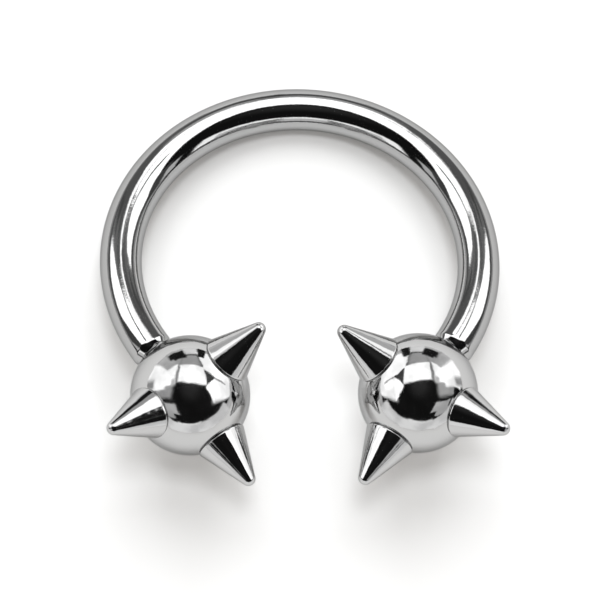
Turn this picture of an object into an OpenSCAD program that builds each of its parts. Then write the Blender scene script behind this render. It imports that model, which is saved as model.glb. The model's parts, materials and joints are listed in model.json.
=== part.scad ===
// Horseshoe barbell: a curved bar with a spiked ball screwed on each end.
// It lies as it rests by itself, on the back of the bar and on one spike of
// each ball, with the opening towards the front (-Y) and the floor at z = 0.

/* [Bar] */
// Thickness of the bar
bar_d = 1.6; // [1.2:0.1:2]
// Inside diameter of the horseshoe
inner_d = 12; // [11:0.5:16]
// Angle from the front centre line to each end of the bar
end_angle = 54.2; // [52:0.1:62]
// How far the bar's end narrows, measured on its radius
shoulder_drop = 0.14; // [0.08:0.02:0.16]
// Length of that narrowing, measured along the bar
shoulder_length = 0.25; // [0.15:0.05:0.4]

/* [Threaded posts] */
// Diameter of the post on each end of the bar
post_d = 1.2; // [1:0.05:1.2]
// Length of the post inside its ball
post_length = 1.6; // [1.4:0.1:2]
// Clearance between the post and its hole, on the radius
post_clearance = 0.03; // [0.02:0.01:0.06]
// Gap between the bar's end and the ball when the ball is screwed home
seat_gap = 0.03; // [0.02:0.01:0.06]

/* [Spiked balls] */
// Diameter of each ball
ball_d = 4.5; // [4:0.1:5]
// Diameter of the flat that each ball has round its hole
flat_d = 1.5; // [1.45:0.05:1.7]
// Depth of the hole past the end of the post
hole_spare = 0.3; // [0.2:0.1:0.5]

/* [Spikes] */
// Reach of a spike's tip from the centre of its ball
spike_reach = 4.15; // [3.8:0.05:4.6]
// Full angle of a spike's cone
spike_angle = 43; // [38:1:50]
// Radius of a spike's rounded tip
tip_r = 0.27; // [0.2:0.01:0.35]
// Distance of a spike's flat base from the centre of its ball
base_seat = 2.06; // [2.02:0.01:2.1]
// Rounding of the edge of that base
base_edge_r = 0.06; // [0.05:0.01:0.15]

/* [Hidden] */

// Directions of the soldered spikes, read from the axis of the ball's hole.
// turn: round that axis, 0 is away from the middle of the ring, 90 is up
// lean: away from that axis, 0 is straight ahead and 90 is square to it
LEFT_SPIKES = [
    // turn, lean
    [-77, 10],    // ahead
    [23, 89],     // outside
    [137, 84],    // inside
    [-102, 92]    // below, which the ball stands on
];
RIGHT_SPIKES = [
    // turn, lean
    [-68, 9],     // ahead
    [18, 90],     // outside
    [143, 82],    // inside
    [-102, 92]    // below, which the ball stands on
];
BELOW = 3;

bar_r = bar_d/2;
ring_r = inner_d/2+bar_r;
ball_r = ball_d/2;
tip_seat = spike_reach-tip_r;
half_angle = spike_angle/2;
ball_seat = sqrt(pow(ball_r, 2)-pow(flat_d/2, 2));
hole_depth = post_length+hole_spare;
// Length that joined pieces share, and the narrowing that hides it in the bar
overlap = 0.1;
shoulder_r = 0.98*bar_r;
round_steps = 5;

// Sides of the round shapes
bend_sides = 192;
wire_sides = 64;
ball_sides = 128;
spike_sides = 96;

// Frame of the right end, in the plane of the ring before it is tilted
thread_axis = [-cos(end_angle), -sin(end_angle), 0];
outward = [sin(end_angle), -cos(end_angle), 0];
upward = [0, 0, 1];
bar_end = ring_r*outward;
ball_centre = bar_end+(seat_gap+ball_seat)*thread_axis;

// The bar's arc stops where its narrowed end begins
arc_end = end_angle+asin(shoulder_length/ring_r);
arc_start = arc_end-90;
arc_sweep = 360-2*arc_end;

function spike_direction(spike) =
    cos(spike[1])*thread_axis
    +sin(spike[1])*(cos(spike[0])*outward+sin(spike[0])*upward);
function tip_centre(spike) = ball_centre+tip_seat*spike_direction(spike);

// Tilt of the ring about X that puts the bar's back and the lower spikes on
// the floor together: reach_back*sin(tilt) + reach_down*cos(tilt) = difference
lower_tip = tip_centre(RIGHT_SPIKES[BELOW]);
reach_back = lower_tip[1]-ring_r;
reach_down = -lower_tip[2];
difference = bar_r-tip_r;
tilt = 180-asin(difference/norm([reach_back, reach_down]))-atan2(reach_down, reach_back);

// Height of the ring's centre, and the shift that centres the whole in Y
lift = ring_r*sin(tilt)+bar_r;
function tilted_y(point) = point[1]*cos(tilt)+point[2]*sin(tilt);
front_y = min([for (spike = concat(LEFT_SPIKES, RIGHT_SPIKES)) tilted_y(tip_centre(spike))])-tip_r;
back_y = ring_r*cos(tilt)+bar_r;
shift_y = -(front_y+back_y)/2;

function arc(x, y, radius, from, to) = [
    for (i = [0:round_steps])
        let (angle = from+(to-from)*i/round_steps)
        [x+radius*cos(angle), y+radius*sin(angle)]
];

// Outline of half a spike: flat base, rounded edge, straight side, round tip
side_drop = tan(half_angle);
base_r = (tip_r+(tip_seat-base_seat)*sin(half_angle))/cos(half_angle);
edge_x = base_r-base_edge_r*(side_drop+1/cos(half_angle));
SPIKE_OUTLINE = concat(
    [[0, base_seat]],
    arc(edge_x, base_seat+base_edge_r, base_edge_r, -90, half_angle),
    arc(0, tip_seat, tip_r, half_angle, 90)
);

module lie_on_floor() {
    translate([0, shift_y, lift])
        rotate([-tilt, 0, 0])
            children();
}

// Puts its children's +Z on the right end's thread axis and their +X outward
module at_right_end(distance = 0) {
    translate(bar_end+distance*thread_axis)
        rotate([0, 0, end_angle-90])
            rotate([90, 0, 0])
                children();
}

module spike(direction) {
    rotate([0, 0, direction[0]])
        rotate([0, direction[1], 0])
            rotate_extrude($fn = spike_sides)
                polygon(SPIKE_OUTLINE);
}

// One ball, its hole's axis along Z and the bar below it
module spiked_ball(spikes) {
    difference() {
        union() {
            sphere(r = ball_r, $fn = ball_sides);
            for (direction = spikes)
                spike(direction);
        }
        translate([0, 0, -ball_seat-ball_r])
            cylinder(r = flat_d, h = ball_r, $fn = wire_sides);
        translate([0, 0, -ball_seat-overlap])
            cylinder(r = post_d/2+post_clearance, h = hole_depth+overlap, $fn = wire_sides);
    }
}

// The narrowed end of the bar and its post, with the bar's end face at z = 0
module shoulder_and_post() {
    translate([0, 0, -shoulder_length-overlap])
        cylinder(r = shoulder_r, h = overlap, $fn = wire_sides);
    translate([0, 0, -shoulder_length])
        cylinder(r1 = shoulder_r, r2 = bar_r-shoulder_drop, h = shoulder_length, $fn = wire_sides);
    translate([0, 0, -overlap])
        cylinder(r = post_d/2, h = post_length+overlap, $fn = wire_sides);
}

module curved_bar() {
    color("silver")
        lie_on_floor() {
            rotate([0, 0, arc_start])
                rotate_extrude(angle = arc_sweep, $fn = bend_sides)
                    translate([ring_r, 0])
                        circle(r = bar_r, $fn = wire_sides);
            at_right_end()
                shoulder_and_post();
            mirror([1, 0, 0])
                at_right_end()
                    shoulder_and_post();
        }
}

module left_spiked_ball() {
    color("silver")
        lie_on_floor()
            mirror([1, 0, 0])
                at_right_end(seat_gap+ball_seat)
                    spiked_ball(LEFT_SPIKES);
}

module right_spiked_ball() {
    color("silver")
        lie_on_floor()
            at_right_end(seat_gap+ball_seat)
                spiked_ball(RIGHT_SPIKES);
}

curved_bar();
left_spiked_ball();
right_spiked_ball();
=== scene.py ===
# %% [markdown]
# # Horseshoe barbell
# A horseshoe barbell is a curved steel bar with a ball screwed on each end. Each
# ball here carries four soldered spikes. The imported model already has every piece
# at its real size and place, so this lesson gives each one a finer mesh and a
# polished finish, a floor to lie on, a studio to reflect, and a camera.

# %% Load the frame
import json
import math

import bmesh
import bpy
from mathutils import Matrix, Vector


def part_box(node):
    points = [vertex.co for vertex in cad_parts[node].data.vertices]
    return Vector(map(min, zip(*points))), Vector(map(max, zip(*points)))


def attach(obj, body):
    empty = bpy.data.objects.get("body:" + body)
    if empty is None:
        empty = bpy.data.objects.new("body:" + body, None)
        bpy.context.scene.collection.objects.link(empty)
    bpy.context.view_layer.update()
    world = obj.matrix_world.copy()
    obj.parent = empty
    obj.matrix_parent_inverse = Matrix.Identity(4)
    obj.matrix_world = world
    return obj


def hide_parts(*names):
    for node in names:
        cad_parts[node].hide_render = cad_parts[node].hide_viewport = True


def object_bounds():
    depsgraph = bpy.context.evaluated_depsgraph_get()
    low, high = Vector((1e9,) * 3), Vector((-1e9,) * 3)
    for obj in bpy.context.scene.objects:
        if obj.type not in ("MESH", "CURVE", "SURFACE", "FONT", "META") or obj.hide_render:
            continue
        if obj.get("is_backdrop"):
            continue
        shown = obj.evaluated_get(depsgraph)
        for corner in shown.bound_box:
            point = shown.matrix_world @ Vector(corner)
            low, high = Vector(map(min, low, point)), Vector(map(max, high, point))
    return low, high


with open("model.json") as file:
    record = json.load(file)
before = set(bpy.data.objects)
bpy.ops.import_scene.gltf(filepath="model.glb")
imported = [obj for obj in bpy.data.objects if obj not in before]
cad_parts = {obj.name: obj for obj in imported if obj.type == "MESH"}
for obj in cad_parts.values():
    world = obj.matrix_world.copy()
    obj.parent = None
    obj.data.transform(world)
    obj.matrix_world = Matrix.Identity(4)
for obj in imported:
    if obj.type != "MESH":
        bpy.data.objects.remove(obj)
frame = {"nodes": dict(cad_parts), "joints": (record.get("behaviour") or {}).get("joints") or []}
cad_box = [list(corner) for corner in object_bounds()]
bpy.ops.object.select_all(action="DESELECT")
MM = 0.001
print("nodes:", sorted(frame["nodes"]))

# %% [markdown]
# ## Sizes
# The sizes are those of the real piece, in metres. The bar is 1.6 mm wire bent to
# 12 mm inside, a common size for this jewel. How the ring lies is read from the
# frame: each ball unscrews along the axis of its thread, so that axis says both
# where the bar ends and how far the ring is tilted.

# %% Sizes and the ring's place
bar_r = 0.8*MM
ring_r = 6.8*MM
ball_r = 2.25*MM
seat_gap = 0.03*MM
flat_r = 0.75*MM

axis = Vector(frame["joints"][-1]["axis"])
axis.x = -abs(axis.x)
end_angle = math.acos(-axis.x)
tilt = math.atan2(axis.z, -axis.y)

bar_low, bar_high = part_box("curved_bar")
ring_centre = Vector((
    0,
    bar_high.y-bar_r-ring_r*math.cos(tilt),
    bar_low.z+bar_r+ring_r*math.sin(tilt),
))
lie_on_floor = Matrix.Translation(ring_centre) @ Matrix.Rotation(-tilt, 4, "X")
print("tilt", round(math.degrees(tilt), 2), "end angle", round(math.degrees(end_angle), 2))

# %% [markdown]
# The two ends of the bar are mirror images, so both are made in the frame of the
# right end: Z runs along its thread away from the bar, X points outward and Y up.
# A mirror in the middle plane of the ring gives the left end.

# %% Frames of the two ends
MIRROR = Matrix.Scale(-1, 4, (1, 0, 0))
thread_axis = Vector((-math.cos(end_angle), -math.sin(end_angle), 0))
outward = Vector((math.sin(end_angle), -math.cos(end_angle), 0))
ball_seat = math.sqrt(ball_r**2-flat_r**2)


def end_frame(side, distance):
    """Frame of one end of the bar, a distance past the bar's end face."""
    place = Matrix.Translation(ring_r*outward+distance*thread_axis)
    turn = Matrix((outward, (0, 0, 1), thread_axis)).transposed().to_4x4()
    mirror = MIRROR if side == "left" else Matrix()
    return lie_on_floor @ mirror @ place @ turn


for side in ("left", "right"):
    place = end_frame(side, seat_gap+ball_seat).translation
    print(side, "ball centre, mm:", [round(x/MM, 3) for x in place])

# %% [markdown]
# ## Camera
# The photograph looks down at the ring from the front with a long lens. The three
# turns and the distance below are in the plane of the ring, which is what the
# picture shows as an ellipse. The lens suits the photograph's square frame.

# %% Camera
view_height = math.radians(60.4)
view_turn = math.radians(4.79)
view_roll = math.radians(-3.66)
view_distance = 165*MM
view_shift = Vector((0.004*MM, -1.461*MM, view_distance))
lens_mm = 260.5
sensor_mm = 36
near_limit = 10*MM
far_limit = 10

turns = (
    Matrix.Rotation(-view_turn, 4, "Z")
    @ Matrix.Rotation(math.pi/2-view_height, 4, "X")
    @ Matrix.Rotation(-view_roll, 4, "Z")
)
bpy.ops.object.camera_add()
camera = bpy.context.object
camera.name = "camera"
camera.matrix_world = lie_on_floor @ turns @ Matrix.Translation(view_shift)
camera.data.lens = lens_mm
camera.data.sensor_width = sensor_mm
camera.data.clip_start = near_limit
camera.data.clip_end = far_limit
bpy.context.scene.camera = camera
print("camera at, mm:", [round(x/MM, 1) for x in camera.matrix_world.translation])

# %% [markdown]
# ## Material helpers
# A material is a small graph of nodes. These helpers add a node, set its values
# and wire it up, so each finish below reads as a short list of what it does.

# %% Node helpers


def add_node(tree, kind, **values):
    """Adds a node and sets its options and its input sockets by name."""
    node = tree.nodes.new(kind)
    for name, value in values.items():
        if hasattr(node, name):
            setattr(node, name, value)
        else:
            node.inputs[name.replace("_", " ").title()].default_value = value
    return node


def wire(tree, source, target):
    """Joins an output socket to an input socket."""
    tree.links.new(source, target)


def maths(tree, operation, first, second=0.0, clamp=False):
    """One sum, of sockets or of numbers, and its result."""
    node = tree.nodes.new("ShaderNodeMath")
    node.operation = operation
    node.use_clamp = clamp
    for socket, value in zip(node.inputs, (first, second)):
        if isinstance(value, (int, float)):
            socket.default_value = value
        else:
            wire(tree, value, socket)
    return node.outputs[0]


def ramp(tree, value, low, high):
    """0 below low, 1 above high, and a smooth rise between them."""
    node = tree.nodes.new("ShaderNodeMapRange")
    node.interpolation_type = "SMOOTHSTEP"
    for name, limit in (("From Min", low), ("From Max", high)):
        if isinstance(limit, (int, float)):
            node.inputs[name].default_value = limit
        else:
            wire(tree, limit, node.inputs[name])
    wire(tree, value, node.inputs["Value"])
    return node.outputs["Result"]


print("node helpers ready")

# %% [markdown]
# ## Studio
# Polished steel has no colour of its own worth the name: what one sees is the
# studio. A jeweller's studio is a tent with softboxes over the table and cards at
# its sides. The tables say where each one is. Ceiling rows are on a plan of the
# ceiling, x outward and y to the back, in units of the ceiling's height. Wall rows
# are in degrees, azimuth outward from the back and height above the table. Each
# row gives where the card starts and ends and how far it leans, both ways, then how
# soft its edge is and how bright it is: a softbox is above 2, white card about 1,
# grey card less, and black card next to nothing. Later rows lie over earlier ones.
# A card that meets its other half at the front runs a degree past 180, so that no
# soft edge shows there.

# %% Cards round the balls
BALL_CEILING = [
    # x from, to, lean, y from, to, lean, soft edge, brightness
    (-1.15, -0.57, 0, 0.65, 9, 1.15, 0.08, 2.3),  # softbox on the inner side, at the back
    (-9, -1.06, 0, -0.62, 9, 0, 0.4, 2.1),  # wide softbox far on the inner side
    (-1.45, -0.56, 0, -0.36, 0.42, -0.78, 0.08, 0.1),  # black card in front of it
    (-2.6, -0.56, 0, 1.1, 9, 0.4, 0.08, 2.3),  # softbox beside the first, further back
    (-2.6, -1.2, 0, 0.5, 0.62, 0, 0.1, 0.5),  # grey seam on the inner side
    (-0.5, 0.5, 0, 1.04, 2.6, 0, 0.3, 0.72),  # grey card at the back
    (-0.56, 0.48, 0, 0.19, 1.08, 0.13, 0.1, 2.3),  # softbox over the ball, a little behind
    (0.48, 1.2, 0, 1.22, 3.2, 0, 0.2, 0.78),  # grey card at the outer back
    (0.72, 2.6, -0.3, -0.38, 0.4, 0, 0.3, 0.65),  # grey card on the outer side
    (0.56, 9, 0, 0.2, 1.25, 0, 0.12, 2.3),  # wide softbox on the outer side
    (0.56, 0.8, 0, 0.14, 0.42, 0, 0.16, 0.95),  # its dimmer corner
    (0.46, 0.53, 0, 0.22, 1.05, 0, 0.07, 0.45),  # seam between the last two softboxes
    (0.9, 2.4, 0.3, -1.3, -0.62, 0, 0.1, 0.8),  # grey card at the outer front
    (1.0, 2.4, 0, -1.9, -1.25, 0, 0.1, 0.8),  # another, further to the front
]
BALL_WALLS = [
    # azimuth from, to, lean, height from, to, lean, soft edge, brightness
    (-181, -108, 0, -3, 20, 0, 3, 1.25),  # white card at the front, inner half
    (104, 181, 0, -3, 20, 0, 3, 1.25),  # its outer half
    (157, 181, 0, 18, 22, 0, 3, 1.34),  # brighter top of its outer half
    (-181, -160, 0, 18, 22, 0, 3, 1.34),  # and of its inner half
    (-110, 30, 0, -3, 10, 0, 4, 0.84),  # low grey card, inner side to back
    (30, 48, 0, -3, 34, 0, 4, 0.84),  # tall grey card at the outer back
    (-9, 9, 0, -2, 18, 0, 4, 1.25),  # white card straight behind
    (47, 70, 0, -3, 30, 0, 6, 2.1),  # softbox on the outer side
    (68, 84, 0.1, 0, 40, 0, 6, 2.1),  # taller one beside it
    (70, 83, 0, -4, 16, 0, 9, 0.56),  # grey card at its foot
    (10.5, 31, -0.2, 6, 25.5, 0, 3, 0.02),  # black card behind, outer side
    (-19, -8, -0.15, -1, 23, 0, 3, 0.02),  # black card behind, inner side
]
print("cards round the balls:", len(BALL_CEILING)+len(BALL_WALLS))

# %% [markdown]
# The bar is lit on its own, with one large softbox over it and narrower cards, so
# that long clean bands run along the wire. Its cards are the same on both sides, so
# its azimuth runs from 0 at the back to 180 at the front.

# %% Cards round the bar
BAR_CEILING = [
    # x from, to, lean, y from, to, lean, soft edge, brightness
    (-2.0, 2.0, 0, 0.26, 0.95, 0, 0.06, 3.0),  # large softbox over the bar, a little behind
    (0.45, 0.56, 0, 0.5, 1.0, 0, 0.03, 0.05),  # black seam in it
]
BAR_WALLS = [
    # azimuth from, to, lean, height from, to, lean, soft edge, brightness
    (0, 96, 0, -3, 8, 0, 4, 0.57),  # low grey card, back to side
    (0, 90, 0, 8, 20, 0, 4, 0.15),  # dark card above it
    (0, 14, 0, 21, 33, 0, 8, 0.76),  # grey card straight behind
    (0, 14, 0, 33, 46, 0, 3, 3.0),  # softbox above it
    (0, 12, 0, -3, 6, 0, 3, 1.21),  # white card at its foot
    (14, 52, 0, 14, 46, 0, 4, 0.28),  # wide dark card at the outer back
    (54.5, 94.5, -0.5, 18, 46, 0, 4, 3.0),  # leaning softbox on the side
    (20, 36, 0, 6, 30, 0, 4, 0.13),  # darker card at the outer back
    (24, 38, -0.38, 6, 44.5, 0, 4, 0.18),  # leaning dark card over its edge
    (5, 24, 0, 41.6, 46.4, 0, 2.5, 0.2),  # dark strip across the softbox behind
    (77, 93, 0, 8, 36, 0, 3, 0.1),  # black card on the side
    (93, 104, 0, 8, 27, 0, 3, 0.89),  # white card in front of it
    (117, 131, 0, 8, 32, 0, 5, 2.03),  # softbox between side and front
    (131, 181, 0, 8, 30, 0, 4, 1.02),  # white card at the front
    (131, 181, 0, 24, 31, 0, 4, 2.03),  # brighter strip along its top
    (131, 181, 0, -3, 8, 0, 4, 0.15),  # dark card at its foot
]
print("cards round the bar:", len(BAR_CEILING)+len(BAR_WALLS))

# %% [markdown]
# One card is a group of nodes: it takes what is under it and lays its own
# brightness over that, with soft edges. A tent chains one such group for each row.

# %% One card
CARD_VALUES = ("From", "To", "Lean", "Low", "High", "Tilt", "Soft", "Brightness")


def card_group():
    """The node group of one card."""
    group = bpy.data.node_groups.new("card", "ShaderNodeTree")
    for name in ("Across", "Up", "Under")+CARD_VALUES:
        group.interface.new_socket(name, in_out="INPUT", socket_type="NodeSocketFloat")
    group.interface.new_socket("Light", in_out="OUTPUT", socket_type="NodeSocketFloat")
    given = group.nodes.new("NodeGroupInput").outputs
    half = maths(group, "MULTIPLY", given["Soft"], 0.5)
    sideways = maths(group, "MULTIPLY", given["Lean"], given["Up"])
    across = maths(group, "SUBTRACT", given["Across"], sideways)
    upwards = maths(group, "MULTIPLY", given["Tilt"], given["Across"])
    up = maths(group, "SUBTRACT", given["Up"], upwards)
    inside = 1.0
    for place, first, last in ((across, "From", "To"), (up, "Low", "High")):
        rises = []
        for name in (first, last):
            low = maths(group, "SUBTRACT", given[name], half)
            high = maths(group, "ADD", given[name], half)
            rises.append(ramp(group, place, low, high))
        inside = maths(group, "MULTIPLY", maths(group, "SUBTRACT", rises[0], rises[1]), inside)
    step = maths(group, "SUBTRACT", given["Brightness"], given["Under"])
    light = maths(group, "ADD", given["Under"], maths(group, "MULTIPLY", inside, step))
    result = group.nodes.new("NodeGroupOutput")
    wire(group, light, result.inputs["Light"])
    return group


card = card_group()
print("card group:", len(card.nodes), "nodes")

# %% [markdown]
# A tent's shader has to know where on the tent a ray ends. The walls need that as
# azimuth and height in degrees, and the ceiling as a place on its plan. Outward is
# to the right for the right ball and to the left for the left one, and the bar's
# cards are the same on both sides.

# %% Places on a tent
to_degrees = 180/math.pi
plan_edge = 0.05


def tent_places(tree, side):
    """Where a ray ends: its direction, its azimuth and height, its place on the plan."""
    place = add_node(tree, "ShaderNodeTexCoord").outputs["Object"]
    unit = add_node(tree, "ShaderNodeVectorMath", operation="NORMALIZE")
    wire(tree, place, unit.inputs[0])
    direction = unit.outputs[0]
    split = add_node(tree, "ShaderNodeSeparateXYZ")
    wire(tree, direction, split.inputs[0])
    east, north, up = split.outputs
    if side == "both":
        east = maths(tree, "ABSOLUTE", east)
    if side == "left":
        east = maths(tree, "MULTIPLY", east, -1.0)
    azimuth = maths(tree, "MULTIPLY", maths(tree, "ARCTAN2", east, north), to_degrees)
    height = maths(tree, "MULTIPLY", maths(tree, "ARCSINE", up), to_degrees)
    overhead = maths(tree, "MAXIMUM", up, plan_edge)
    plan_x = maths(tree, "DIVIDE", east, overhead)
    plan_y = maths(tree, "DIVIDE", north, overhead)
    return direction, (azimuth, height), (plan_x, plan_y)


def lay_cards(tree, light, rows, place):
    """Lays one table's cards over the light that is there already."""
    across, up = place
    for row in rows:
        node = add_node(tree, "ShaderNodeGroup", node_tree=card)
        wire(tree, across, node.inputs["Across"])
        wire(tree, up, node.inputs["Up"])
        wire(tree, light, node.inputs["Under"])
        for value_name, value in zip(CARD_VALUES, row):
            node.inputs[value_name].default_value = value
        light = node.outputs["Light"]
    return light


print("places on the plan reach", 1/plan_edge, "heights out")

# %% [markdown]
# The base of a tent is the dark room behind the cards, with a faint glow high up.
# The cards lie over that. The cloth of the softboxes isn't even, which gives the
# balls soft clouds of grey in their whites. The light is added to a transparent
# shader, so that one tent doesn't hide the next, and it ends at the table.

# %% Tent shader
dark_room = 0.012
ceiling_glow = 0.035
glow_heights = (60, 88)
table_heights = (-3, -1)
cloud_scale = 2.0
cloud_limits = (0.35, 0.65)


def tent_material(name, ceiling, walls, side, unevenness):
    """Light of one tent. The side is "left", "right" or "both"."""
    material = bpy.data.materials.new(name)
    material.use_nodes = True
    material.cycles.emission_sampling = "NONE"
    tree = material.node_tree
    tree.nodes.clear()
    direction, wall_place, plan_place = tent_places(tree, side)
    height = wall_place[1]
    glow = maths(tree, "MULTIPLY", ramp(tree, height, *glow_heights), ceiling_glow)
    light = maths(tree, "ADD", glow, dark_room)
    light = lay_cards(tree, light, ceiling, plan_place)
    light = lay_cards(tree, light, walls, wall_place)

    cloth = add_node(tree, "ShaderNodeTexNoise", Scale=cloud_scale, Detail=2.0)
    wire(tree, direction, cloth.inputs["Vector"])
    clouds = ramp(tree, cloth.outputs["Fac"], *cloud_limits)
    dimming = maths(tree, "MULTIPLY", clouds, unevenness)
    light = maths(tree, "MULTIPLY", light, maths(tree, "SUBTRACT", 1.0, dimming))
    above = ramp(tree, height, *table_heights)

    glowing = add_node(tree, "ShaderNodeEmission")
    wire(tree, maths(tree, "MULTIPLY", light, above), glowing.inputs["Strength"])
    clear = add_node(tree, "ShaderNodeBsdfTransparent")
    both = add_node(tree, "ShaderNodeAddShader")
    wire(tree, glowing.outputs[0], both.inputs[0])
    wire(tree, clear.outputs[0], both.inputs[1])
    output = add_node(tree, "ShaderNodeOutputMaterial")
    wire(tree, both.outputs[0], output.inputs["Surface"])
    return material


bar_cloth = 0.0
ball_cloth = 0.25
TENT_LIGHTS = {
    "bar": tent_material("cards_round_bar", BAR_CEILING, BAR_WALLS, "both", bar_cloth),
    "left": tent_material("cards_round_left_ball", BALL_CEILING, BALL_WALLS, "left", ball_cloth),
    "right": tent_material("cards_round_right_ball", BALL_CEILING, BALL_WALLS, "right", ball_cloth),
}
print("tent shaders:", sorted(TENT_LIGHTS))

# %% [markdown]
# The room itself is plain and a little warm, which shows in the shadows. It only
# brightens the sheet that the ring lies on, because the steel sees its tent instead.

# %% Room
room_colour = (1.0, 0.97, 0.94)
room_strength = 0.61

bpy.ops.world.new()
world = bpy.data.worlds[-1]
bpy.context.scene.world = world
world.use_nodes = True
room_light = world.node_tree.nodes["Background"]
room_light.inputs["Color"].default_value = (*room_colour, 1)
room_light.inputs["Strength"].default_value = room_strength
world.cycles_visibility.glossy = False
bpy.context.scene.view_settings.view_transform = "Standard"
print("room strength", room_strength)

# %% [markdown]
# ## Floor
# The ring lies on a plain white sheet. It is a stage and not a part of the jewel,
# so it is marked as one.

# %% Floor
floor_size = 3.0
paper_colour = (0.90, 0.90, 0.895)
paper_roughness = 0.9

bpy.ops.mesh.primitive_plane_add(size=floor_size)
floor = bpy.context.object
floor.name = "floor"
paper = bpy.data.materials.new("white_paper")
paper.use_nodes = True
sheet = paper.node_tree.nodes["Principled BSDF"]
sheet.inputs["Base Color"].default_value = (*paper_colour, 1)
sheet.inputs["Roughness"].default_value = paper_roughness
sheet.inputs["Specular IOR Level"].default_value = 0.0
floor.data.materials.append(paper)
floor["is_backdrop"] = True
print("floor", floor_size, "m wide")

# %% [markdown]
# Two soft lights make the paper white. A large one behind the ring lets its shadows
# fall to the front, and a small one overhead deepens them right under the steel.
# Both are a little cool, which makes up for the warm room where nothing shades the
# sheet. They are kept out of the reflections, because the steel shows its tents.

# %% Lights
lamp_height = 0.6
lamp_colour = (0.96, 0.98, 1.0)
LAMPS = {
    # metres behind the ring, size in metres, power in watts
    "softbox_behind": (0.4, 0.5, 3.2),
    "softbox_overhead": (0, 0.12, 0.9),
}


def soft_light(name, behind, size, power):
    """A square light over the sheet that points at the ring."""
    bpy.ops.object.light_add(type="AREA", location=(0, behind, lamp_height))
    lamp = bpy.context.object
    lamp.name = name
    lamp.rotation_euler = (-math.atan2(behind, lamp_height), 0, 0)
    lamp.data.shape = "SQUARE"
    lamp.data.size = size
    lamp.data.energy = power
    lamp.data.color = lamp_colour
    lamp.visible_glossy = False
    return lamp


for name, values in LAMPS.items():
    lamp = soft_light(name, *values)
    print(lamp.name, round(lamp.data.energy, 1), "W")

# %% [markdown]
# ## Modelling helpers
# Spikes, posts and holes are turned or drilled in real life, so each of them is a
# circle that is extruded ring by ring. `grow` does that: it extrudes the selected
# ring, moves it along Z and scales it about the axis. `pick` selects points by their
# place.

# %% Rings
crisp_angle = math.radians(30)


def pick(piece, wanted):
    """Selects, in edit mode, the points whose place passes the test."""
    bpy.ops.mesh.select_mode(type="VERT")
    mesh = bmesh.from_edit_mesh(piece.data)
    for vert in mesh.verts:
        vert.select_set(False)
    for vert in mesh.verts:
        if wanted(vert.co):
            vert.select_set(True)
    mesh.select_flush(True)
    bmesh.update_edit_mesh(piece.data)


def start_ring(name, radius, height, sides):
    """A new circle round the Z axis, open for editing, with its ring selected."""
    bpy.ops.object.select_all(action="DESELECT")
    bpy.ops.mesh.primitive_circle_add(vertices=sides, radius=radius, location=(0, 0, height))
    piece = bpy.context.object
    piece.name = name
    bpy.ops.object.transform_apply(location=True, rotation=True, scale=True)
    bpy.ops.object.mode_set(mode="EDIT")
    bpy.ops.mesh.select_all(action="SELECT")
    return piece


def grow(outline):
    """Extrudes the selected ring through an outline's points of radius and height."""
    for (radius, height), (next_radius, next_height) in zip(outline, outline[1:]):
        bpy.ops.mesh.extrude_region_move(
            TRANSFORM_OT_translate={"value": (0, 0, next_height-height)})
        scale = next_radius/radius
        bpy.ops.transform.resize(value=(scale, scale, 1), center_override=(0, 0, next_height))


def turned(name, outline, sides):
    """A closed solid of revolution about Z, from an outline of radius and height."""
    piece = start_ring(name, *outline[0], sides)
    bpy.ops.mesh.edge_face_add()
    grow(outline)
    bpy.ops.mesh.edge_face_add()
    bpy.ops.mesh.select_all(action="SELECT")
    bpy.ops.mesh.normals_make_consistent(inside=False)
    bpy.ops.object.mode_set(mode="OBJECT")
    return piece


def arc(centre_r, centre_h, radius, start, stop, steps):
    """Points of an arc in an outline, angles in degrees from the outward direction."""
    angles = [math.radians(start+(stop-start)*i/steps) for i in range(steps+1)]
    return [(centre_r+radius*math.cos(a), centre_h+radius*math.sin(a)) for a in angles]


def place_mesh(piece, matrix):
    """Puts the piece where the matrix says, and leaves its object at the origin."""
    bpy.ops.object.select_all(action="DESELECT")
    piece.select_set(True)
    bpy.context.view_layer.objects.active = piece
    piece.matrix_world = matrix
    bpy.ops.object.transform_apply(location=True, rotation=True, scale=True)


def combine(piece, other, operation):
    """Adds or cuts another solid, which is then gone."""
    bpy.ops.object.select_all(action="DESELECT")
    piece.select_set(True)
    bpy.context.view_layer.objects.active = piece
    boolean = piece.modifiers.new(operation.lower(), "BOOLEAN")
    boolean.operation = operation
    boolean.solver = "EXACT"
    boolean.object = other
    bpy.ops.object.modifier_apply(modifier=boolean.name)
    bpy.data.objects.remove(other)


print("modelling helpers ready")

# %% [markdown]
# ## Threads
# The ball is screwed on, so the post carries a thread and the hole has one too. A
# thread is one ridge wound round the axis. The Screw modifier winds a small
# triangle, and the ends are capped so that it is a solid to add or to cut.

# %% Thread
pitch = 0.25*MM
thread_r = 0.6*MM
thread_depth = 0.11*MM
core_r = thread_r-thread_depth
half_ridge = 0.46*pitch
steps_per_turn = 48


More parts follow.
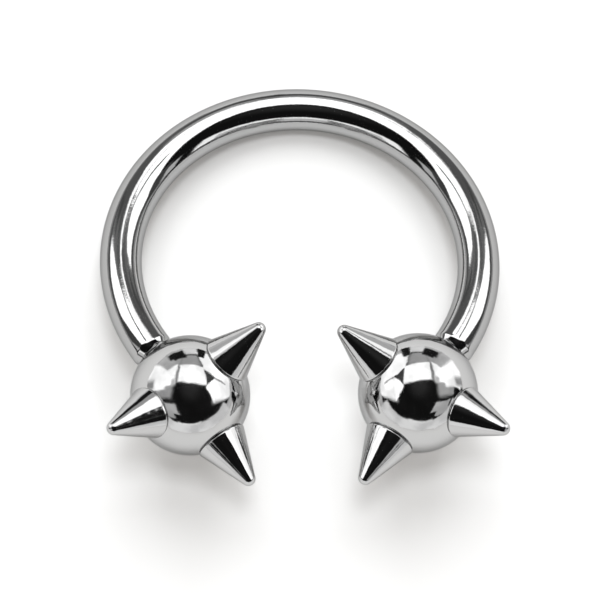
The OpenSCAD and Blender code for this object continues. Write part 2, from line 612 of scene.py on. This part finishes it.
def thread_ridge(name, inner_r, outer_r, start, turns):
    """A helical ridge from one radius to another, closed at both ends."""
    piece = start_ring(name, half_ridge, 0, 3)
    bpy.ops.object.mode_set(mode="OBJECT")
    corners = ((inner_r, -half_ridge), (inner_r, half_ridge), (outer_r, 0))
    for vert, (radius, height) in zip(piece.data.vertices, corners):
        vert.co = (radius, 0, start+height)
    screw = piece.modifiers.new("screw", "SCREW")
    screw.axis = "Z"
    screw.angle = 2*math.pi*turns
    screw.screw_offset = pitch*turns
    screw.steps = screw.render_steps = round(steps_per_turn*turns)
    bpy.ops.object.modifier_apply(modifier=screw.name)
    bpy.ops.object.mode_set(mode="EDIT")
    bpy.ops.mesh.select_all(action="SELECT")
    bpy.ops.mesh.fill_holes(sides=3)
    bpy.ops.mesh.select_all(action="SELECT")
    bpy.ops.mesh.normals_make_consistent(inside=False)
    bpy.ops.object.mode_set(mode="OBJECT")
    return piece


print("thread: pitch", pitch/MM, "mm, depth", thread_depth/MM, "mm")

# %% [markdown]
# ## The curved bar
# Wire of 1.6 mm is bent to a horseshoe. A circle stands where the bend begins and
# the Spin tool sweeps it round. It goes on sweeping by small steps into each end,
# where every ring is also scaled down, which narrows the end by a small shoulder
# with crisp but not sharp edges. A flat face closes it.

# %% Bend
bar_sides = 96
bend_steps = 300
shoulder_drop = 0.14*MM
shoulder_length = 0.25*MM
face_r = bar_r-shoulder_drop
touching = 0.001*MM
SHOULDER = [
    # radius, distance from the end face
    (bar_r, shoulder_length),
    (bar_r-0.012*MM, shoulder_length-0.04*MM),
    (face_r+0.014*MM, 0.040*MM),
    (face_r+0.003*MM, 0.020*MM),
    (face_r-0.006*MM, 0.006*MM),
    (face_r-0.020*MM, 0),
]


def spin_ring(steps, angle):
    """Sweeps the selected ring round the middle of the horseshoe, from right to left."""
    bpy.ops.mesh.spin(steps=steps, angle=angle, center=(0, 0, 0), axis=(0, 0, -1))


def narrow_end(side):
    """Sweeps the selected end ring through the shoulder and closes it."""
    sign = 1 if side == "left" else -1
    for (radius, distance), (next_radius, next_distance) in zip(SHOULDER, SHOULDER[1:]):
        spin_ring(1, sign*(distance-next_distance)/ring_r)
        turn = end_angle+next_distance/ring_r
        centre = (-sign*ring_r*math.sin(turn), -ring_r*math.cos(turn), 0)
        scale = next_radius/radius
        bpy.ops.transform.resize(value=(scale, scale, scale), center_override=centre)
    bpy.ops.mesh.edge_face_add()


arc_start = end_angle+shoulder_length/ring_r-math.pi/2
arc_sweep = 2*(math.pi/2-arc_start)
start_place = Vector((ring_r*math.cos(arc_start), ring_r*math.sin(arc_start), 0))

bpy.ops.object.select_all(action="DESELECT")
bpy.ops.mesh.primitive_circle_add(
    vertices=bar_sides, radius=bar_r, location=start_place, rotation=(math.pi/2, 0, arc_start))
bar = bpy.context.object
bar.name = "curved_bar_polished"
bpy.ops.object.transform_apply(location=True, rotation=True, scale=True)
bpy.ops.object.mode_set(mode="EDIT")
bpy.ops.mesh.select_all(action="SELECT")
spin_ring(bend_steps, arc_sweep)
narrow_end("left")
along_start = Vector((-start_place.y, start_place.x, 0)).normalized()
pick(bar, lambda co: co.x > 0 and abs(co.dot(along_start)) < touching)
narrow_end("right")
bpy.ops.mesh.select_all(action="SELECT")
bpy.ops.mesh.normals_make_consistent(inside=False)
bpy.ops.object.mode_set(mode="OBJECT")
print("bend:", len(bar.data.polygons), "faces,", [round(x/MM, 2) for x in bar.dimensions], "mm")

# %% [markdown]
# The threaded post is a second solid that stands in the end face. Its neck is
# thinner than the root of the thread, and its tip has a small lead-in. The foot of
# the ridge lies a little inside the core, so that the two make one solid.

# %% Posts
post_sides = 64
post_length = 1.6*MM
foot_depth = 0.2*MM
neck_r = core_r-0.03*MM
neck_length = 0.12*MM
neck_flare = 0.05*MM
lead_in = 0.10*MM
ridge_foot = 0.02*MM
ridge_start = 0.27*MM
ridge_turns = 4.6
POST_OUTLINE = [
    # radius, height over the end face
    (neck_r, -foot_depth),
    (neck_r, neck_length),
    (core_r, neck_length+neck_flare),
    (core_r, post_length-lead_in),
    (core_r-lead_in, post_length),
]


def post(side):
    """One threaded post, in its place on the bar."""
    piece = turned("post_"+side, POST_OUTLINE, post_sides)
    ridge = thread_ridge("thread_"+side, core_r-ridge_foot, thread_r, ridge_start, ridge_turns)
    combine(piece, ridge, "UNION")
    place_mesh(piece, lie_on_floor.inverted() @ end_frame(side, 0))
    return piece


for side in ("left", "right"):
    piece = post(side)
    print(piece.name, len(piece.data.polygons), "faces")
    combine(bar, piece, "UNION")
place_mesh(bar, lie_on_floor)
bpy.ops.object.shade_smooth_by_angle(angle=crisp_angle)
print("bar:", len(bar.data.polygons), "faces")

# %% [markdown]
# ## The spiked balls
# A ball is a turned sphere with a flat round its threaded hole. It starts as a
# sphere with its pole on the hole's axis, and one cut by a plane makes the flat.
# A spike is a turned cone with a rounded tip and a rounded edge round its base.
# Four of them are soldered on, so in the end ball and spikes are one solid.

# %% Spike
spike_sides = 128
spike_reach = 4.15*MM
tip_r = 0.27*MM
base_seat = 2.06*MM
base_edge_r = 0.06*MM
half_angle = 21.5
edge_steps = 12
tip_steps = 20
tip_end = 88
side_shares = (0.02, 0.35, 0.7, 0.98)

# The cone's side touches the tip's sphere and meets the base at base_r. The arc
# round the base's edge touches both of them, so its centre stands at edge_x.
slope = math.radians(half_angle)
tip_seat = spike_reach-tip_r
base_r = (tip_r+(tip_seat-base_seat)*math.sin(slope))/math.cos(slope)
edge_x = base_r-base_edge_r*(math.tan(slope)+1/math.cos(slope))
base_edge = arc(edge_x, base_seat+base_edge_r, base_edge_r, -90, half_angle, edge_steps)
tip = arc(0, tip_seat, tip_r, half_angle, tip_end, tip_steps)


def between(first, last, share):
    """A point on the straight line from one outline point to another."""
    return tuple(a+(b-a)*share for a, b in zip(first, last))


side_rings = [between(base_edge[-1], tip[0], share) for share in side_shares]
SPIKE_OUTLINE = [(edge_x*0.5, base_seat)]+base_edge+side_rings+tip
print("spike base", round(2*base_r/MM, 2), "mm wide,", len(SPIKE_OUTLINE), "rings")

# %% [markdown]
# The spikes don't stand quite evenly, which shows in the photograph. Each one has
# a turn round the hole's axis, where 0 points outward and 90 up, and a lean from
# that axis.

# %% Directions of the spikes
SPIKES = {
    "left": {"ahead": (-77, 10), "outside": (23, 89), "inside": (137, 84), "below": (-102, 92)},
    "right": {"ahead": (-68, 9), "outside": (18, 90), "inside": (143, 82), "below": (-102, 92)},
}


def spike(name, turn, lean):
    """One spike, pointing where its turn and lean say, from the ball's centre."""
    piece = turned(name, SPIKE_OUTLINE, spike_sides)
    aim = Matrix.Rotation(math.radians(turn), 4, "Z") @ Matrix.Rotation(math.radians(lean), 4, "Y")
    place_mesh(piece, aim)
    return piece


for side, directions in SPIKES.items():
    print(side, "spikes:", directions)

# %% [markdown]
# The hole is drilled a little wider than the post, and has a small countersink at
# its mouth and a groove inside. The same helical ridge that makes the thread, a
# little larger, cuts that groove.

# %% Threaded hole
hole_sides = 64
hole_r = 0.63*MM
hole_depth = 1.9*MM
countersink = 0.06*MM
past_mouth = 0.1*MM
drill_tip_r = 0.1*MM
drill_tip_length = 0.15*MM
tap_foot = 0.05*MM
tap_depth = 0.08*MM
tap_start = 0.15*MM
tap_turns = 5.6
mouth = -ball_seat
HOLE_OUTLINE = [
    # radius, height from the ball's centre
    (hole_r+countersink+past_mouth, mouth-past_mouth),
    (hole_r+countersink, mouth),
    (hole_r, mouth+countersink),
    (hole_r, mouth+hole_depth-drill_tip_length),
    (drill_tip_r, mouth+hole_depth),
]


def cut_hole(ball):
    """Drills the hole into a ball, then taps it."""
    drill = turned("drill", HOLE_OUTLINE, hole_sides)
    combine(ball, drill, "DIFFERENCE")
    tap = thread_ridge("tap", hole_r-tap_foot, hole_r+tap_depth, mouth+tap_start, tap_turns)
    combine(ball, tap, "DIFFERENCE")


print("hole", 2*hole_r/MM, "mm wide and", hole_depth/MM, "mm deep")

# %% [markdown]
# Left and right ball are mirror images apart from the spikes' directions, so one
# function makes both and the mirror in `end_frame` turns the left one round. A
# mirror turns faces inside out, so the normals are made consistent afterwards.

# %% Balls
ball_segments = 192
ball_rings = 96
cut_tolerance = 0.0001*MM


def spiked_ball(side):
    """A ball with its spikes and hole, in place."""
    bpy.ops.object.select_all(action="DESELECT")
    bpy.ops.mesh.primitive_uv_sphere_add(
        segments=ball_segments, ring_count=ball_rings, radius=ball_r)
    ball = bpy.context.object
    ball.name = side+"_spiked_ball_polished"
    bpy.ops.object.mode_set(mode="EDIT")
    bpy.ops.mesh.select_all(action="SELECT")
    bpy.ops.mesh.bisect(
        plane_co=(0, 0, -ball_seat), plane_no=(0, 0, -1),
        use_fill=True, clear_outer=True, threshold=cut_tolerance)
    bpy.ops.object.mode_set(mode="OBJECT")
    for name, (turn, lean) in SPIKES[side].items():
        combine(ball, spike(name, turn, lean), "UNION")
    cut_hole(ball)
    place_mesh(ball, end_frame(side, seat_gap+ball_seat))
    bpy.ops.object.mode_set(mode="EDIT")
    bpy.ops.mesh.select_all(action="SELECT")
    bpy.ops.mesh.normals_make_consistent(inside=False)
    bpy.ops.object.mode_set(mode="OBJECT")
    bpy.ops.object.shade_smooth_by_angle(angle=crisp_angle)
    return ball


balls = {}
for side in ("left", "right"):
    balls[side] = spiked_ball(side)
    print(balls[side].name, len(balls[side].data.polygons), "faces")

# %% [markdown]
# ## Polished steel
# The whole jewel is mirror-polished steel. Its finish is a metal shader with a very
# low roughness. A slow, faint waviness from hand polishing bends the edges of the
# reflections, and the grain of the polish roughens them. Fine wiping marks make the
# roughness uneven. The steel's rims are a little darker than its middle, which keeps
# them clear of the white sheet. The bar's steel is given a darker tint than the
# balls': painted shade, for the shaded sheet close under the bar that it reflects.

# %% Steel
grain_size = 0.07*MM
grain_height = 0.0008*MM
marks_per_metre = 900.0
marks_limits = (0.35, 0.75)
roughness_limits = (0.05, 0.10)
edge_tint = 0.5


def roughen(tree, place, shader):
    """Fine wiping marks, which make the roughness uneven."""
    marks = add_node(tree, "ShaderNodeTexNoise", Scale=marks_per_metre, Detail=4.0)
    wire(tree, place, marks.inputs["Vector"])
    uneven = add_node(tree, "ShaderNodeMapRange")
    limits = marks_limits+roughness_limits
    for name, limit in zip(("From Min", "From Max", "To Min", "To Max"), limits):
        uneven.inputs[name].default_value = limit
    wire(tree, marks.outputs["Fac"], uneven.inputs["Value"])
    wire(tree, uneven.outputs["Result"], shader.inputs["Roughness"])


def polished_steel(name, tint, wave_size, wave_height):
    """Mirror-polished steel with a little waviness, grain and fine wiping marks."""
    steel = bpy.data.materials.new(name)
    steel.use_nodes = True
    tree = steel.node_tree
    shader = tree.nodes["Principled BSDF"]
    shader.inputs["Metallic"].default_value = 1.0
    shader.inputs["Base Color"].default_value = (tint, tint, tint, 1)
    shader.inputs["Specular Tint"].default_value = (edge_tint, edge_tint, edge_tint, 1)
    place = add_node(tree, "ShaderNodeTexCoord").outputs["Object"]
    roughen(tree, place, shader)
    relief = None
    for size, height in ((wave_size, wave_height), (grain_size, grain_height)):
        bumps = add_node(tree, "ShaderNodeTexNoise", Scale=1/size, Detail=1.0)
        wire(tree, place, bumps.inputs["Vector"])
        bump = add_node(tree, "ShaderNodeBump", Strength=1.0, Distance=height)
        wire(tree, bumps.outputs["Fac"], bump.inputs["Height"])
        if relief:
            wire(tree, relief, bump.inputs["Normal"])
        relief = bump.outputs["Normal"]
    wire(tree, relief, shader.inputs["Normal"])
    return steel


# Each steel has a name, a tint, and the size and height of its waves
# The bar's lower tint is painted shade: the same steel, darkened for the shaded sheet it reflects.
shade_painted_bar_steel = polished_steel("polished_bar_steel", 0.41, 0.8*MM, 0.006*MM)
ball_steel = polished_steel("polished_ball_steel", 0.52, 0.6*MM, 0.012*MM)
for piece, steel in ((bar, shade_painted_bar_steel), (balls["left"], ball_steel), (balls["right"], ball_steel)):
    piece.data.materials.clear()
    piece.data.materials.append(steel)
print("steels:", shade_painted_bar_steel.name, ball_steel.name)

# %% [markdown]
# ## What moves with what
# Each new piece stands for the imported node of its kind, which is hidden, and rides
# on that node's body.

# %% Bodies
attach(bar, "bar")
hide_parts("curved_bar")
for side, ball in balls.items():
    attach(ball, side+"_ball")
    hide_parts(side+"_spiked_ball")

print("bodies:", bar.name, [ball.name for ball in balls.values()])

# %% [markdown]
# ## Tents
# Each tent is a large sphere round the ring that lights one piece and nothing
# else, as a photographer would light a ball with its own cards. It is part of the
# stage. The camera and the sheet don't see it, and it casts no shadow. Each tent is
# a little larger than the one before, so that no two of them touch.

# %% Tents
tent_radius = 0.9
tent_step = 0.02
tent_segments = 64
tent_rings = 32


def light_tent(name, piece, radius):
    """A sphere of light that only one piece sees."""
    bpy.ops.object.select_all(action="DESELECT")
    bpy.ops.mesh.primitive_uv_sphere_add(
        segments=tent_segments, ring_count=tent_rings, radius=radius)
    tent = bpy.context.object
    tent.name = "tent_round_"+name
    tent.data.materials.append(TENT_LIGHTS[name])
    tent.visible_camera = False
    tent.visible_diffuse = False
    tent.visible_shadow = False
    seen_by = bpy.data.collections.new("lit_by_"+tent.name)
    seen_by.objects.link(piece)
    tent.light_linking.receiver_collection = seen_by
    tent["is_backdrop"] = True
    return tent


for number, (name, piece) in enumerate([("bar", bar)]+list(balls.items())):
    tent = light_tent(name, piece, tent_radius+tent_step*number)
    print(tent.name, round(tent.dimensions.x, 2), "m wide")

# %% [markdown]
# ## Size
# Both boxes, of the imported part and of the dressed one, are printed. The
# dressed part has to stay inside the imported one.

# %% Size
dressed_box = [list(corner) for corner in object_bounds()]
for name, box in (("CAD", cad_box), ("visual", dressed_box)):
    print(name, "box, mm:", [[round(x/MM, 3) for x in corner] for corner in box])
